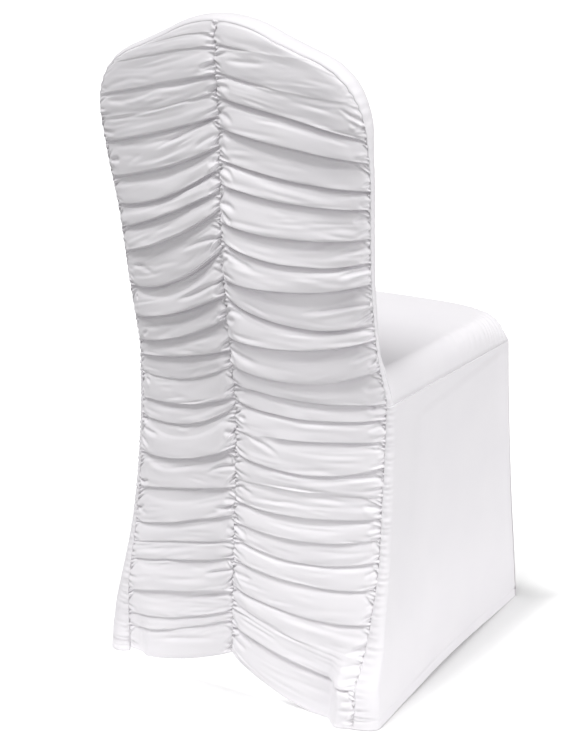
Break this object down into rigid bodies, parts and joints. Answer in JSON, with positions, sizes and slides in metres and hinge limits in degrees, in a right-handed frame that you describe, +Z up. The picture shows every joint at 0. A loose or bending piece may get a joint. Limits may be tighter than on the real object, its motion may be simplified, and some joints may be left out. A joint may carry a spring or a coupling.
{
  "type": "ruched chair cover",
  "caption": "Fitted stretch cloth cover for a crown-backed banquet chair, its back ruched in swags from a middle seam, with a smooth seat and skirt down to the floor.",
  "frame": {"origin": "middle of the cover's footprint, on the floor it stands on", "axes": "+Z up, +Y towards the front of the seat, +X to the right as seen from behind"},
  "size_m": [0.465, 0.5214, 0.93],
  "materials": {
    "ruched_cloth": "soft satin stretch knit, gathered",
    "smooth_cloth": "soft satin stretch knit, smooth"
  },
  "bodies": {
    "root": {"back_right": "ruched_cloth", "back_left": "ruched_cloth", "inside_back": "smooth_cloth", "seat_panel": "smooth_cloth", "skirt_right": "smooth_cloth", "skirt_left": "smooth_cloth", "skirt_front": "smooth_cloth"}
  },
  "joints": []
}
